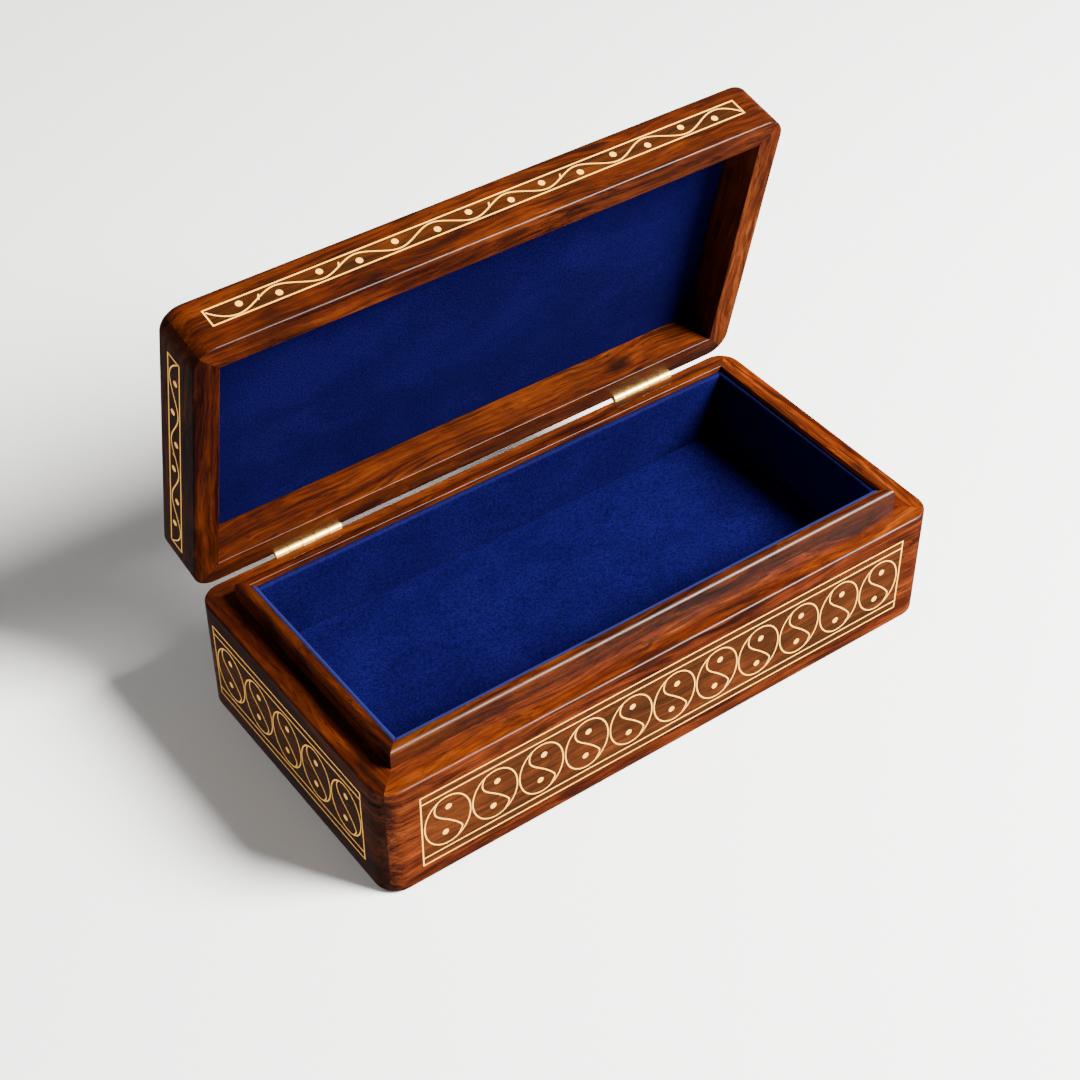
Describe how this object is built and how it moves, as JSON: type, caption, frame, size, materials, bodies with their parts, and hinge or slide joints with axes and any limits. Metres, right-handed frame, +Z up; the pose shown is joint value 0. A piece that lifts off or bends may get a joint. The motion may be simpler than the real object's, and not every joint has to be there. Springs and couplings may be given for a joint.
{
  "type": "hinged keepsake box",
  "caption": "Rectangular hardwood box with mitred walls, brass-wire inlay, a raised inner lip, velvet lining and a hinged lid standing open.",
  "frame": {"origin": "centre of the base's underside", "axes": "+X along the box to its right-hand end, +Y to the hinged back, +Z up"},
  "size_m": [0.254, 0.1511, 0.182],
  "materials": {
    "rosewood": "polished, oiled reddish brown with dark streaks",
    "plain_board": "plain sanded board, out of sight",
    "brass_inlay": "fine brass wire and pins sanded flush",
    "hinge_brass": "polished pressed brass",
    "velvet": "royal blue velvet over thin card"
  },
  "bodies": {
    "base": {"base_back_border": "brass_inlay", "base_back_dots": "brass_inlay", "base_back_liner": "rosewood", "base_back_lining": "velvet", "base_back_roundels": "brass_inlay", "base_back_wall": "rosewood", "base_bottom_board": "plain_board", "base_front_border": "brass_inlay", "base_front_dots": "brass_inlay", "base_front_liner": "rosewood", "base_front_lining": "velvet", "base_front_roundels": "brass_inlay", "base_front_wall": "rosewood", "base_left_border": "brass_inlay", "base_left_dots": "brass_inlay", "base_left_liner": "rosewood", "base_left_lining": "velvet", "base_left_roundels": "brass_inlay", "base_left_wall": "rosewood", "base_right_border": "brass_inlay", "base_right_dots": "brass_inlay", "base_right_liner": "rosewood", "base_right_lining": "velvet", "base_right_roundels": "brass_inlay", "base_right_wall": "rosewood", "floor_bearers": "plain_board", "floor_board": "plain_board", "floor_lining": "velvet", "left_hinge_base_leaf": "hinge_brass", "left_hinge_base_screws": "hinge_brass", "left_hinge_pin": "hinge_brass", "right_hinge_base_leaf": "hinge_brass", "right_hinge_base_screws": "hinge_brass", "right_hinge_pin": "hinge_brass"},
    "lid": {"left_hinge_lid_leaf": "hinge_brass", "left_hinge_lid_screws": "hinge_brass", "lid_back_border": "brass_inlay", "lid_back_dots": "brass_inlay", "lid_back_rail": "rosewood", "lid_back_vine": "brass_inlay", "lid_front_border": "brass_inlay", "lid_front_dots": "brass_inlay", "lid_front_rail": "rosewood", "lid_front_vine": "brass_inlay", "lid_left_border": "brass_inlay", "lid_left_dots": "brass_inlay", "lid_left_rail": "rosewood", "lid_left_vine": "brass_inlay", "lid_lining": "velvet", "lid_right_border": "brass_inlay", "lid_right_dots": "brass_inlay", "lid_right_rail": "rosewood", "lid_right_vine": "brass_inlay", "lid_top_border": "brass_inlay", "lid_top_dots": "brass_inlay", "lid_top_panel": "rosewood", "lid_top_roundels": "brass_inlay", "right_hinge_lid_leaf": "hinge_brass", "right_hinge_lid_screws": "hinge_brass"}
  },
  "joints": [
    {"name": "lid_hinge", "type": "hinge", "parent": "base", "child": "lid", "pos_m": [0, 0.064, 0.05265], "axis": [-1, 0, 0], "range_deg": [-78, 102]}
  ]
}
